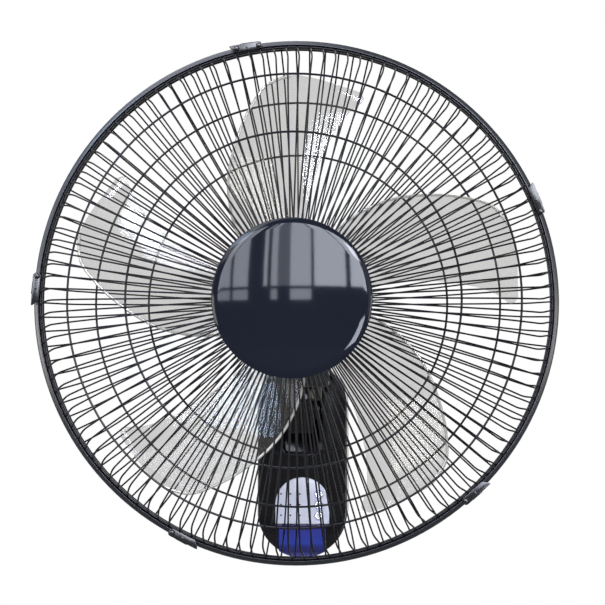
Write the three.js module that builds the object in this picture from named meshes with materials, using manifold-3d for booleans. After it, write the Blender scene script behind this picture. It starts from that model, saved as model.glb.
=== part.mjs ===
// Wall mounted fan: a five-bladed propeller in a wire guard, on a motor head that swings and
// tilts on a neck, carried by a slim wall body with its controls at the bottom.
// Millimetres, +Z up, the front faces -Y. The origin is the middle of the wall plate's back
// face, and the wall is the plane y = 0.

import * as THREE from 'three';
import { mergeVertices } from 'three/addons/utils/BufferGeometryUtils.js';
import Module from 'manifold-3d';

const wasm = await Module();
wasm.setup();

// ---------------------------------------------------------------- driving dimensions

const GAP = 0.3; // left between pieces that touch
const AXIS_HEIGHT = 140; // the fan's axis above the middle of the wall plate
const BODY_RADIUS = 42; // round ends of the wall body
const BODY_STRAIGHT = 50; // from its middle to the centre of each round end
const BODY_SEAM = -48; // where the rear cover ends and the front cover starts
const BODY_FRONT = -100;
const BODY_WALL = 2.4;
const TILT = { y: -78, z: 45 }; // axis of the tilt bolt
const SWIVEL = { x: 0, y: -125 }; // axis that the head swings on
const MOTOR_RADIUS = 43.5;
const MOTOR_FRONT = -186;
const SHAFT_RADIUS = 4;
const RIM = -250; // where the two halves of the guard meet
const HOOP_RADIUS = 225; // outside of the guard
const BLADE_RADIUS = 192.5;
const BLADE_COUNT = 5;
const WIRE_COUNT = { front: 126, rear: 108 };
const WIRE = 1.7; // thickness of a guard wire
const RING_WIRE = 1.9; // thickness of the guard's rings
const CLIP_ANGLES = [20, 98, 174.3, 242, 310.5]; // anticlockwise from +X, seen from the front

// ---------------------------------------------------------------- finishes

const finish = (color, roughness, metalness) => () =>
  new THREE.MeshStandardMaterial({ color, roughness, metalness, flatShading: true });

const blackGloss = finish(0x14151a, 0.2, 0);
const blackPlastic = finish(0x1b1c21, 0.45, 0);
const navyGloss = finish(0x1c1f2c, 0.12, 0);
const wirePaint = finish(0x23252f, 0.35, 0.2);
const smokyClear = finish(0xc6c4bb, 0.15, 0);
const pearl = finish(0xc9cde4, 0.35, 0);
const silver = finish(0xb9bcc6, 0.3, 0.6);
const blueLens = finish(0x2b2f9a, 0.1, 0);
const clearGuide = finish(0xe2e6ee, 0.2, 0);
const zinc = finish(0xa9abae, 0.4, 0.9);
const steel = finish(0x8d9096, 0.35, 0.9);
const laminations = finish(0x5d6066, 0.6, 0.7);
const copper = finish(0x9c5a2c, 0.5, 0.6);
const greenBoard = finish(0x1f5a35, 0.5, 0);
const rubber = finish(0x1a1a1b, 0.85, 0);
const nylon = finish(0xd9d6cc, 0.6, 0);

// ---------------------------------------------------------------- solids

function signedVolume(position, corners) {
  const [a, b, c] = [new THREE.Vector3(), new THREE.Vector3(), new THREE.Vector3()];
  let total = 0;
  for (let i = 0; i < corners.length; i += 3) {
    a.fromBufferAttribute(position, corners[i]);
    b.fromBufferAttribute(position, corners[i + 1]);
    c.fromBufferAttribute(position, corners[i + 2]);
    total += a.dot(b.cross(c)) / 6;
  }
  return total;
}

// A closed geometry as a solid that can be cut and joined, faces turned outwards.
function solid(geometry) {
  geometry.deleteAttribute('normal');
  geometry.deleteAttribute('uv');
  const merged = mergeVertices(geometry, 1e-4);
  const position = merged.getAttribute('position');
  const index = merged.getIndex().array;
  const corners = [];
  for (let i = 0; i < index.length; i += 3) {
    const [a, b, c] = index.slice(i, i + 3);
    if (a !== b && b !== c && c !== a) corners.push(a, b, c);
  }
  if (signedVolume(position, corners) < 0) corners.reverse();
  const triVerts = Uint32Array.from(corners);
  return new wasm.Manifold(new wasm.Mesh({ numProp: 3, vertProperties: position.array, triVerts }));
}

function solidFrom(points, corners) {
  const geometry = new THREE.BufferGeometry();
  geometry.setAttribute('position', new THREE.Float32BufferAttribute(points.flat(), 3));
  geometry.setIndex(corners);
  return solid(geometry);
}

const join = (...solids) => solids.reduce((sum, next) => sum.add(next));
const cut = (body, ...tools) => tools.reduce((rest, tool) => rest.subtract(tool), body);

// A solid as a named mesh, hung in a group.
function part(group, name, material, body) {
  const mesh = body.getMesh();
  const geometry = new THREE.BufferGeometry();
  geometry.setAttribute('position', new THREE.BufferAttribute(mesh.vertProperties, 3));
  geometry.setIndex(new THREE.BufferAttribute(mesh.triVerts, 1));
  const piece = new THREE.Mesh(geometry, material());
  piece.name = name;
  group.add(piece);
  return piece;
}

// ---------------------------------------------------------------- basic forms

// A profile of [radius, y] turned about the Y axis.
function turned(profile, segments = 28) {
  const points = profile.map(([radius, y]) => new THREE.Vector2(radius, y));
  return solid(new THREE.LatheGeometry(points, segments));
}

// The same for a closed profile that stays off the axis.
const ring = (profile, segments) => turned([...profile, profile[0]], segments);

// A ring of rectangular section about the Y axis.
function band([inner, outer], [back, front], segments) {
  return ring([[inner, back], [outer, back], [outer, front], [inner, front]], segments);
}

function block([left, right], [front, back], [bottom, top]) {
  const box = new THREE.BoxGeometry(right - left, back - front, top - bottom);
  box.translate((left + right) / 2, (front + back) / 2, (bottom + top) / 2);
  return solid(box);
}

function rod(radius, from, to, sides = 12) {
  const start = new THREE.Vector3(...from);
  const span = new THREE.Vector3(...to).sub(start);
  const along = new THREE.Quaternion();
  along.setFromUnitVectors(new THREE.Vector3(0, 1, 0), span.clone().normalize());
  const cylinder = new THREE.CylinderGeometry(radius, radius, span.length(), sides);
  cylinder.applyQuaternion(along);
  cylinder.translate(...start.addScaledVector(span, 0.5).toArray());
  return solid(cylinder);
}

// Rods along Y and along Z, placed by their other two coordinates.
const rodY = (radius, [x, z], [from, to], sides) => rod(radius, [x, from, z], [x, to, z], sides);
const rodZ = (radius, { x, y }, [from, to], sides) => rod(radius, [x, y, from], [x, y, to], sides);

function extruded(shape, depth, curveSegments) {
  return new THREE.ExtrudeGeometry(shape, { depth, bevelEnabled: false, curveSegments });
}

// A shape drawn in X and Z, between two depths.
function plate(shape, [back, front], curveSegments = 4) {
  const geometry = extruded(shape, back - front, curveSegments);
  return solid(geometry.rotateX(Math.PI / 2).translate(0, back, 0));
}

// A shape drawn in X and Y, between two heights.
function slab(shape, [bottom, top], curveSegments = 4) {
  return solid(extruded(shape, top - bottom, curveSegments).translate(0, 0, bottom));
}

// A shape drawn in Y and Z, between two sides.
function sideways(shape, [left, right]) {
  const turn = new THREE.Matrix4().makeBasis(
    new THREE.Vector3(0, 1, 0),
    new THREE.Vector3(0, 0, 1),
    new THREE.Vector3(1, 0, 0),
  );
  return solid(extruded(shape, right - left, 4).applyMatrix4(turn).translate(left, 0, 0));
}

const outline = (points) => new THREE.Shape(points.map(([x, y]) => new THREE.Vector2(x, y)));

function circle([x, y], radius) {
  return new THREE.Shape().absarc(x, y, radius, 0, 2 * Math.PI, false);
}

// A straight slot with round ends, from one centre up to another.
function oblong([x, low], high, radius) {
  const shape = new THREE.Shape();
  shape.absarc(x, high, radius, 0, Math.PI, false);
  shape.absarc(x, low, radius, Math.PI, 2 * Math.PI, false);
  return shape;
}

function roundedRectangle(halfWidth, halfHeight, corner) {
  const [x, y] = [halfWidth - corner, halfHeight - corner];
  const shape = new THREE.Shape();
  shape.absarc(x, y, corner, 0, Math.PI / 2, false);
  shape.absarc(-x, y, corner, Math.PI / 2, Math.PI, false);
  shape.absarc(-x, -y, corner, Math.PI, 1.5 * Math.PI, false);
  shape.absarc(x, -y, corner, 1.5 * Math.PI, 2 * Math.PI, false);
  return shape;
}

// An arch that stands on a flat bottom.
function arch(halfWidth, centre, bottom) {
  const shape = new THREE.Shape();
  shape.moveTo(-halfWidth, bottom);
  shape.lineTo(halfWidth, bottom);
  shape.absarc(0, centre, halfWidth, 0, Math.PI, false);
  return shape;
}

// A U with rounded bottom corners, open upwards.
function channel(halfWidth, bottom, corner, top) {
  const shape = new THREE.Shape();
  shape.moveTo(halfWidth, top);
  shape.lineTo(-halfWidth, top);
  shape.absarc(-halfWidth + corner, bottom + corner, corner, Math.PI, 1.5 * Math.PI, false);
  shape.absarc(halfWidth - corner, bottom + corner, corner, 1.5 * Math.PI, 2 * Math.PI, false);
  return shape;
}

const radians = THREE.MathUtils.degToRad;
const mirrored = (make) => join(make(-1), make(1));

// ---------------------------------------------------------------- wall body

const CAPSULE_STEPS = 10; // round each end of the body

// Points round the body's outline, drawn in from its outside by an inset.
function capsule(inset) {
  const radius = BODY_RADIUS - inset;
  const points = [];
  for (const end of [1, -1]) {
    for (let step = 0; step <= CAPSULE_STEPS; step += 1) {
      const angle = (Math.PI * step) / CAPSULE_STEPS;
      const x = end * radius * Math.cos(angle);
      points.push([x, end * (BODY_STRAIGHT + radius * Math.sin(angle))]);
    }
  }
  return points;
}

// A solid through capsule outlines, given as rows of [y, inset] from the wall forwards.
function lofted(rows) {
  const rings = rows.map(([y, inset]) => capsule(inset).map(([x, z]) => [x, y, z]));
  const size = rings[0].length;
  const front = (rings.length - 1) * size;
  const corners = [];
  for (let row = 0; row < front; row += size) {
    for (let i = 0; i < size; i += 1) {
      const [a, b] = [row + i, row + ((i + 1) % size)];
      corners.push(a, b, b + size, a, b + size, a + size);
    }
  }
  for (let i = 1; i + 1 < size; i += 1) {
    corners.push(0, i + 1, i, front, front + i, front + i + 1);
  }
  return solidFrom(rings.flat(), corners);
}

// How the front cover rounds over: depth behind its front face, and inset.
const FRONT_ROUNDING = [[14, 0.8], [8, 2.8], [3.2, 7], [0.8, 11], [0, 14]];

// The front cover's outer form, grown or shrunk all round.
function frontForm(growth, back) {
  const rows = FRONT_ROUNDING.map(([depth, inset]) => [BODY_FRONT + depth - growth, inset - growth]);
  return lofted([[back, -growth], ...rows]);
}

const PLATE_DEPTH = 2.5;
const WEB = [-8, -10.5]; // the rear cover's inner wall
const BOSSES = [[-31, -55], [31, -55], [-31, 55], [31, 55]]; // [x, z] of the body screws
const LOCK = [0, -44]; // [x, z] of the lock screw
const HOOK = { inner: 11, outer: 21, stem: [35.5, 38], lip: 43, front: -13.5 };
const INLET = { x: 0, y: -25 }; // the cord's way in, through the bottom

function wallPlate() {
  const sheet = roundedRectangle(30, 60, 8);
  sheet.holes.push(oblong([-18, -48.3], -43.7, 2.7), oblong([18, -48.3], -43.7, 2.7));
  const hook = (side) => {
    const across = [side * HOOK.inner, side * HOOK.outer].sort((a, b) => a - b);
    return join(
      block(across, [HOOK.front, -PLATE_DEPTH + 0.5], HOOK.stem),
      block(across, [HOOK.front, HOOK.front + 2.5], [HOOK.stem[0], HOOK.lip]),
    );
  };
  return cut(
    join(plate(sheet, [0, -PLATE_DEPTH]), mirrored(hook), rodY(4, LOCK, [-2, -7.6])),
    rodY(5, [0, 43], [1, -4], 20),
    plate(oblong([0, 43], 52, 2.6), [1, -4]),
    rodY(2.2, LOCK, [-3, -9]),
  );
}

function rearCover() {
  const shell = cut(
    lofted([[-0.8, 1.2], [-2, 0], [BODY_SEAM, 0]]),
    lofted([[1, 3.5], [WEB[0], 3.5]]),
    lofted([[WEB[1], BODY_WALL], [BODY_SEAM - 1, BODY_WALL]]),
  );
  const bosses = BOSSES.map((at) => rodY(4, at, [WEB[0] - 1, BODY_SEAM - 1.2], 8));
  const towers = [[-5, 22], [5, 22], [-14, 70], [14, 70]].map((at) => rodY(3.5, at, [-9, -57.7], 6));
  const ribs = [[-36.2, -34.4], [-3.6, -1.8]].map((z) => block([-12, 12], [-30, -9], z));
  const hookSlot = (side) => {
    const across = [side * (HOOK.inner - 0.8), side * (HOOK.outer + 0.8)].sort((a, b) => a - b);
    return block(across, [-12, -7], [29.5, HOOK.stem[1] + 0.4]);
  };
  return cut(
    join(shell, ...bosses, ...towers, ...ribs),
    mirrored(hookSlot),
    rodY(2.3, LOCK, [-7, -12]),
    ...BOSSES.map((at) => rodY(2, at, [-7, -51], 8)),
    rodZ(6.5, INLET, [-96, -85], 16),
  );
}

const PANEL = { halfWidth: 25.2, centre: -42.9, bottom: -61 };
const WINDOW = { halfWidth: 22, top: -64.2, strip: -61.6, back: -82 };
const NECK_SLOT = { halfWidth: 21, bottom: 1.2, corner: 9, back: -57.7 };
const BUTTON_X = 15.5;
const BUTTON_HEIGHTS = { power_button: -33.5, timer_button: -43.5, swing_button: -53.5 };
const LIGHTS = [
  [-20, -33.2], [-11.2, -33.2], [-2.4, -33.2], [6.4, -33.2],
  [-20, -43.2], [-11.2, -43.2], [-2.4, -43.2],
  [-20, -53.2], [-11.2, -53.2], [-2.4, -53.2],
];

// The receiver window's outline as a block through the cover, grown by a margin.
function windowBlock(margin) {
  const { halfWidth, top, strip, back } = WINDOW;
  const wide = PANEL.halfWidth + margin;
  const narrow = halfWidth + margin;
  return join(
    block([-narrow, narrow], [-103, back + margin], [-95, top + margin]),
    block([-wide, wide], [-103, BODY_FRONT + 8], [top - margin, strip + margin]),
  );
}

function frontCover() {
  const outer = frontForm(0, BODY_SEAM - 0.5);
  const bosses = BOSSES.map((at) => rodY(3.6, at, [BODY_SEAM - 1.5, -99], 8));
  const { halfWidth, bottom, corner, back } = NECK_SLOT;
  return cut(
    join(cut(outer, frontForm(-BODY_WALL, BODY_SEAM)), ...bosses.map((boss) => boss.intersect(outer))),
    ...BOSSES.map((at) => rodY(1.5, at, [-49, -90], 6)),
    plate(channel(halfWidth, bottom, corner, 100), [back, -103]),
    plate(arch(PANEL.halfWidth + GAP, PANEL.centre, PANEL.bottom - GAP), [-93, -103], 8),
    windowBlock(GAP),
  );
}

function controlPanel() {
  const face = arch(PANEL.halfWidth, PANEL.centre, PANEL.bottom);
  const flange = plate(arch(PANEL.halfWidth + 1.4, PANEL.centre, PANEL.bottom + 1.5), [-96.3, -97.3], 8);
  const inside = frontForm(-BODY_WALL - GAP, BODY_SEAM);
  const posts = [[-22.8, -57.4], [22.8, -57.4], [0, -21.7]].map((at) => rodY(1.5, at, [-90.3, -97], 6));
  return cut(
    join(plate(face, [-97, -100.5], 8), flange.intersect(inside), ...posts),
    ...Object.values(BUTTON_HEIGHTS).map((height) => rodY(4, [BUTTON_X, height], [-95, -102])),
    ...LIGHTS.map((at) => rodY(0.95, at, [-95, -102], 6)),
  );
}

function receiverWindow() {
  const shell = cut(frontForm(0.8, -70), frontForm(-2.9, -69)).intersect(windowBlock(0));
  const seat = cut(frontForm(-2.7, -70), frontForm(-4.1, -69));
  return join(shell, seat.intersect(block([-24, 24], [-103, -80], [-95, -62.5])));
}

function lightGuide() {
  const bar = block([-21.2, 9.2], [-96, -94], [-54.5, -30]);
  const pins = LIGHTS.map((at) => rodY(0.65, at, [-95, -100.3], 4));
  const feet = [[-15, -37], [4, -34.5], [-15, -47.5]].map((at) => rodY(1.2, at, [-90.3, -95], 4));
  return join(bar, ...pins, ...feet);
}

function controlBoard() {
  const sheet = outline([[-24, -12], [-24, -60], [-18, -60], [-18, -70], [18, -70], [18, -60], [24, -60], [24, -12]]);
  const switches = Object.values(BUTTON_HEIGHTS).map((height) => {
    const across = [BUTTON_X - 2.5, BUTTON_X + 2.5];
    const base = block(across, [-92.2, -89.5], [height - 2.5, height + 2.5]);
    return join(base, rodY(1.2, [BUTTON_X, height], [-92, -92.7], 6));
  });
  return join(plate(sheet, [-88.4, -90]), ...switches);
}

function button() {
  return turned([[0, -94], [4.4, -94], [4.4, -95.9], [3.6, -95.9], [3.6, -101], [2.9, -101.6], [0, -101.7]], 14);
}

function cordGrommet() {
  const profile = [
    [3.6, -94], [8.5, -94], [8.5, -92.4], [6.1, -92.4],
    [6.1, -88.4], [7.4, -88.4], [7.4, -86.8], [3.6, -86.8],
  ];
  const points = [...profile, profile[0]].map(([radius, z]) => new THREE.Vector2(radius, z));
  return solid(new THREE.LatheGeometry(points, 16).rotateX(Math.PI / 2).translate(0, INLET.y, 0));
}

function screw(headRadius, headDepth, shankRadius, [head, tip]) {
  return join(
    rodY(headRadius, [0, 0], [head + headDepth, head], 10),
    rodY(shankRadius, [0, 0], [head + headDepth / 2, tip], 6),
  );
}

const CRADLE = { halfWidth: 20.6, bottom: 1.6, corner: 8.6, wall: 2.2, back: -58, front: -99.6 };

function neckCradle() {
  const { halfWidth, bottom, corner, wall, back, front } = CRADLE;
  const outer = plate(channel(halfWidth, bottom, corner, 99), [back, front]);
  const inside = channel(halfWidth - wall, bottom + wall, corner - wall / 2, 101);
  return cut(
    outer.intersect(frontForm(-0.4, BODY_SEAM)),
    plate(inside, [back - wall, front - 2]),
    rod(4.4, [-30, TILT.y, TILT.z], [30, TILT.y, TILT.z]),
  );
}

function tiltBolt() {
  return join(
    rod(3.9, [-27.5, TILT.y, TILT.z], [22, TILT.y, TILT.z]),
    rod(7.5, [21.2, TILT.y, TILT.z], [26, TILT.y, TILT.z], 6),
  );
}

function tiltNut() {
  return cut(
    rod(7.5, [-26, TILT.y, TILT.z], [-21.2, TILT.y, TILT.z], 6),
    rod(4.3, [-27, TILT.y, TILT.z], [-20, TILT.y, TILT.z]),
  );
}

// ---------------------------------------------------------------- neck

const LINK_PIN = { x: 16, y: SWIVEL.y }; // the fixed pin that the swing link pulls on
const NECK_TOP = 68;
const COLLAR_RADIUS = 7.8; // under the swivel washer, and small enough for the swing link to pass

function neckArm() {
  const column = outline([
    [-84, 25], [-86, 23], [-110, 23], [-112, 25], [-114, 46],
    [-126, 54], [-126, NECK_TOP], [-104, NECK_TOP], [-86, 56],
  ]);
  return cut(
    join(
      rod(13, [-17.6, TILT.y, TILT.z], [17.6, TILT.y, TILT.z], 20),
      sideways(column, [-10.5, 10.5]),
      rodZ(20, SWIVEL, [54, NECK_TOP], 24),
      rodZ(COLLAR_RADIUS, SWIVEL, [60, NECK_TOP + 5], 16),
    ),
    rod(4.3, [-20, TILT.y, TILT.z], [20, TILT.y, TILT.z]),
    rodZ(6.4, SWIVEL, [56, 80], 16),
    rodZ(2.3, LINK_PIN, [59, 80], 8),
  );
}

// ---------------------------------------------------------------- motor head
// These are modelled about the fan's axis, so heights below it are negative.

const belowAxis = (height) => height - AXIS_HEIGHT;
const HEAD_SEGMENTS = 28;

function motorCasingRear() {
  const cup = ring([
    [8.4, -120], [MOTOR_RADIUS, -120], [MOTOR_RADIUS, -139], [41.4, -139],
    [41.4, -124], [13, -124], [13, -130], [8.4, -130],
  ], HEAD_SEGMENTS);
  return cut(
    join(
      cup,
      block([-13, 13], [-136, -114], [belowAxis(90), belowAxis(99)]),
      rodZ(10, SWIVEL, [belowAxis(75), belowAxis(96)], 16),
    ),
    rodZ(6.4, SWIVEL, [belowAxis(70), belowAxis(94.4)], 16),
  );
}

function motorCasingFront() {
  return ring([
    [8.4, -176], [13, -176], [13, -182], [41.4, -182], [41.4, -166.4],
    [MOTOR_RADIUS, -166.4], [MOTOR_RADIUS, MOTOR_FRONT], [8.4, MOTOR_FRONT],
  ], HEAD_SEGMENTS);
}

function motorShell() {
  const outer = [
    [48.5, MOTOR_FRONT], [49.5, -178], [49.5, -140], [47, -118],
    [42, -98], [34, -87], [22, -82], [0, -81.5],
  ];
  const inner = [
    [0, -83.8], [21, -84.2], [32, -89], [39.8, -99.3],
    [47.3, -140], [46.3, MOTOR_FRONT],
  ];
  const wall = turned([...inner, ...outer], HEAD_SEGMENTS);
  const posts = mirrored((side) => rodY(3, [side * 30, 0], [-88, -119.6], 6));
  const vents = [0, 60, 120, 180, 240, 300].map((turn) => {
    const slot = new THREE.BoxGeometry(15, 20, 4).translate(23, -86, 0);
    return solid(slot.rotateY(radians(turn + 30)));
  });
  const neckWindow = block([-15.5, 15.5], [-140, -110], [belowAxis(80), belowAxis(100)]);
  return cut(join(wall, posts), neckWindow, ...vents);
}

function guardMountPlate() {
  return ring([
    [20, -186.4], [50, -186.4], [50, -190], [24, -190], [24, -202], [20, -202],
  ], HEAD_SEGMENTS);
}

function guardNut() {
  const lugs = [0, 90, 180, 270].map((turn) => {
    const lug = new THREE.BoxGeometry(5, 7, 9).translate(38.5, -196, 0);
    return solid(lug.rotateY(radians(turn + 45)));
  });
  return join(band([24.5, 38], [-192.5, -199.5], HEAD_SEGMENTS), ...lugs);
}

// ---------------------------------------------------------------- guard

const HUB_SHARE = 3; // wires to each corner of a hub ring's inner edge

// One half of the guard: a flat hub ring whose edge runs out into the wires, all one piece.
// The path gives the wires' outer side as [radius, y], from the hub to the rim, and each
// wire has three sides: its ridge stands towards the inside of the guard.
function wireCage(path, hubInner, inwards, count) {
  const last = path.length - 1;
  const normals = path.map((point, i) => {
    if (i === 0) return [0, inwards];
    if (i === last) return [-1, 0];
    const [before, after] = [path[i - 1], path[i + 1]];
    const along = new THREE.Vector2(after[0] - before[0], after[1] - before[1]).normalize();
    return [-inwards * along.y, inwards * along.x];
  });
  const points = [];
  const at = (radius, y, angle, aside = 0) => {
    const [cos, sin] = [Math.cos(angle), Math.sin(angle)];
    return points.push([radius * cos - aside * sin, y, radius * sin + aside * cos]) - 1;
  };
  const wires = Array.from({ length: count }, (_, i) => {
    const angle = (2 * Math.PI * i) / count;
    return path.map(([radius, y], step) => {
      const [outwards, forwards] = normals[step];
      return [
        at(radius, y, angle, WIRE / 2),
        at(radius, y, angle, -WIRE / 2),
        at(radius + WIRE * outwards, y + WIRE * forwards, angle),
      ];
    });
  });
  const corners = [];
  const quad = (a, b, c, d) => corners.push(a, b, c, a, c, d);
  wires.forEach((wire, i) => {
    for (let step = 0; step < last; step += 1) {
      for (const [from, to] of [[0, 1], [1, 2], [2, 0]]) {
        quad(wire[step][from], wire[step][to], wire[step + 1][to], wire[step + 1][from]);
      }
    }
    corners.push(...wire[last]);
    const [left, , ridge] = wire[0];
    const [, nextRight, nextRidge] = wires[(i + 1) % count][0];
    corners.push(nextRight, left, ridge, nextRight, ridge, nextRidge);
  });
  const hubY = path[0][1];
  const innerEdge = (y) => Array.from({ length: count / HUB_SHARE }, (_, i) =>
    at(hubInner, y, (2 * Math.PI * HUB_SHARE * i) / count));
  const [flat, ridged] = [innerEdge(hubY), innerEdge(hubY + WIRE * inwards)];
  const face = (outer, inner, flipped) => {
    const share = outer.length / inner.length;
    const add = (...tri) => corners.push(...(flipped ? tri.reverse() : tri));
    inner.forEach((here, m) => {
      for (let k = m * share; k < (m + 1) * share; k += 1) {
        add(outer[k], outer[(k + 1) % outer.length], here);
      }
      add(outer[((m + 1) * share) % outer.length], inner[(m + 1) % inner.length], here);
    });
  };
  face(wires.flatMap((wire) => [wire[0][1], wire[0][0]]), flat, false);
  face(wires.map((wire) => wire[0][2]), ridged, true);
  flat.forEach((here, m) => {
    const next = (m + 1) % flat.length;
    quad(here, flat[next], ridged[next], ridged[m]);
  });
  return solidFrom(points, corners);
}

const REAR_WIRES = [[50, -190.4], [200, -212], [219.8, RIM + 6.3]];
const FRONT_WIRES = [[63.5, -313.9], [192, -290], [213.5, -275], [219.8, RIM - 7.5]];

// A ring of square wire that lies inside the cage, against its wires, at one radius.
function guardRing(path, radius, inwards) {
  const step = path.findIndex(([reach]) => reach > radius);
  const [[r0, y0], [r1, y1]] = [path[step - 1], path[step]];
  const slope = (y1 - y0) / (r1 - r0);
  const lift = (WIRE + GAP + RING_WIRE / 2) * Math.hypot(1, slope) + Math.abs(slope) * (RING_WIRE / 2);
  const y = y0 + slope * (radius - r0) + inwards * lift;
  const half = RING_WIRE / 2;
  return band([radius - half, radius + half], [y + half, y - half], 40);
}

const RIM_SEGMENTS = 56;
const RIM_WIRE = [217.9, 220.5];
const RIVET_RADIUS = HOOP_RADIUS - 2.3; // from the fan's axis to a clip's rivet

function guardHoop() {
  const holes = CLIP_ANGLES.map((angle) => {
    const turn = radians(angle);
    return rodY(1.3, [RIVET_RADIUS * Math.cos(turn), RIVET_RADIUS * Math.sin(turn)], [RIM + 8, RIM - 9], 6);
  });
  return cut(band([HOOP_RADIUS - 4.2, HOOP_RADIUS], [RIM + 6.5, RIM - 8], RIM_SEGMENTS), ...holes);
}

// A clip at angle zero: it turns on its rivet and its flange holds the hoop's joint shut.
function guardClip() {
  const [face, front] = [RIM - 8.4, RIM - 9.6];
  const tongue = outline([
    [220.2, -1.8], [221.5, -2.7], [224.9, -2.7], [226.5, -2], [225.6, 25.2], [224.5, 25.6], [219.2, 20.8],
  ]);
  const ball = new THREE.SphereGeometry(2.5, 8, 5).translate(RIVET_RADIUS, front, 0);
  const proud = block([216, 230], [front - 4, face], [-4, 4]);
  return join(
    plate(tongue, [face, front]),
    block([HOOP_RADIUS + 0.4, HOOP_RADIUS + 1.5], [front, RIM + 4], [5, 16]),
    rodY(1, [RIVET_RADIUS, 0], [RIM + 3, front], 6),
    solid(ball).intersect(proud),
    rodY(1.1, [RIVET_RADIUS + 0.2, 10.5], [face - 0.4, front - 0.7], 6),
  );
}

function centreCap() {
  return turned([
    [0, -322], [50, -319], [60.5, -316.5], [64.5, -314.4], [66.5, -314.4],
    [62.5, -318], [52, -321], [30, -323.6], [0, -324.5],
  ], 36);
}

function capBackPlate() {
  const posts = [90, 210, 330].map((angle) => {
    const turn = radians(angle);
    return rodY(3, [40 * Math.cos(turn), 40 * Math.sin(turn)], [-311, -319], 6);
  });
  return join(turned([[0, -310], [60, -310], [60, -311.8], [0, -311.8]]), ...posts);
}

// ---------------------------------------------------------------- swing drive

const CRANK = { x: 5.7, y: -165 }; // the swing motor's output
const CRANK_THROW = 10.3;
const LINK_REACH = [1.7, 40]; // from the crank pin to the middle of the far eye
const LINK_HEIGHT = [71, 73.6];
const LINK_HALF_WIDTH = 2;

function swingCover() {
  const [side, wall] = [27, 1.8];
  const tray = cut(
    block([-side, side], [-190, -146], [67, 100]),
    block([-side + wall, side - wall], [-190 + wall, -140], [67 + wall, 110]),
  );
  const shellForm = rodY(50.4, [0, AXIS_HEIGHT], [-130, -200], 36);
  return cut(tray, shellForm);
}

// Crank and link are drawn at their own joints, at rest, and placed by their meshes.
function swingCrank() {
  return join(
    rodZ(12.5, { x: 0, y: 0 }, [74.2, 77.1], 18),
    rodZ(1.9, { x: CRANK_THROW, y: 0 }, [70.6, 75], 8),
  );
}

// The far eye is a short slot, in which the fixed pin moves a little as the head swings.
function swingLink() {
  const [x, y] = LINK_REACH;
  const bar = outline([
    [-LINK_HALF_WIDTH, 0], [LINK_HALF_WIDTH, 0], [x + LINK_HALF_WIDTH, y], [x - LINK_HALF_WIDTH, y],
  ]);
  const slot = new THREE.Shape();
  slot.absarc(0, y, 2.4, Math.PI / 2, 1.5 * Math.PI, false);
  slot.absarc(2 * x, y, 2.4, -Math.PI / 2, Math.PI / 2, false);
  return cut(
    join(...[circle([0, 0], 4.5), circle([x, y], 5.4), bar].map((shape) => slab(shape, LINK_HEIGHT))),
    rodZ(2.25, { x: 0, y: 0 }, [70, 75]),
    slab(slot, [70, 75]),
  );
}

// ---------------------------------------------------------------- rotor

// Blade edges as seen from the front: radius, then the leading and trailing edge's angle.
const BLADE_EDGES = [
  [37.9, 88.5, 139.5], [74, 85, 131], [115, 81.5, 120], [145, 78.4, 110.5],
  [171, 74.8, 102.6], [186, 71.6, 97.4], [BLADE_RADIUS, 73.2, 91],
];
const BLADE_STEPS = { along: 8, across: 4 };
const BLADE_THICKNESS = 2.2;
const BLADE_DEPTHS = { leading: [-213, -229], trailing: [-249, -267] }; // at the root and the tip
const CAMBER = 0.35;

function bladeGeometry(turn) {
  const edges = new THREE.CatmullRomCurve3(BLADE_EDGES.map((row) => new THREE.Vector3(...row)));
  const depth = ([root, tip], share) => root + (tip - root) * share;
  const side = (offset) => Array.from({ length: BLADE_STEPS.along + 1 }, (_, row) => {
    const { x: radius, y: leading, z: trailing } = edges.getPoint(row / BLADE_STEPS.along);
    const share = (radius - BLADE_EDGES[0][0]) / (BLADE_RADIUS - BLADE_EDGES[0][0]);
    const [first, final] = [depth(BLADE_DEPTHS.leading, share), depth(BLADE_DEPTHS.trailing, share)];
    return Array.from({ length: BLADE_STEPS.across + 1 }, (__, column) => {
      const v = column / BLADE_STEPS.across;
      const angle = radians(leading + (trailing - leading) * v + turn);
      const y = first + (final - first) * (v + CAMBER * (v * v - v));
      return [radius * Math.cos(angle), y + offset, radius * Math.sin(angle)];
    });
  });
  return slabBetween(side(BLADE_THICKNESS / 2), side(-BLADE_THICKNESS / 2));
}

// The solid between two matching grids of points.
function slabBetween(one, other) {
  const [rows, columns] = [one.length, one[0].length];
  const behind = rows * columns;
  const at = (row, column) => row * columns + column;
  const corners = [];
  const quad = (a, b, c, d) => corners.push(a, b, c, a, c, d);
  for (let row = 0; row + 1 < rows; row += 1) {
    for (let column = 0; column + 1 < columns; column += 1) {
      const loop = [at(row, column), at(row, column + 1), at(row + 1, column + 1), at(row + 1, column)];
      quad(...loop);
      quad(...loop.map((corner) => corner + behind).reverse());
    }
  }
  const edge = [];
  for (let column = 0; column < columns; column += 1) edge.push(at(0, column));
  for (let row = 1; row < rows; row += 1) edge.push(at(row, columns - 1));
  for (let column = columns - 2; column >= 0; column -= 1) edge.push(at(rows - 1, column));
  for (let row = rows - 2; row > 0; row -= 1) edge.push(at(row, 0));
  edge.forEach((here, i) => {
    const next = edge[(i + 1) % edge.length];
    quad(next, here, here + behind, next + behind);
  });
  return solidFrom([...one.flat(), ...other.flat()], corners);
}

const DRIVE_PIN_Y = -219;

function fanBlade() {
  const hub = ring([
    [4.3, -216], [11, -216], [11, -251.5], [35.6, -251.5], [37.5, -208],
    [40, -208], [38, -254], [4.3, -254],
  ], 30);
  const blades = Array.from({ length: BLADE_COUNT }, (_, i) => bladeGeometry((360 / BLADE_COUNT) * i));
  return cut(join(hub, ...blades), block([-12, 12], [DRIVE_PIN_Y - 2.4, -214], [-2.3, 2.3]));
}

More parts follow.
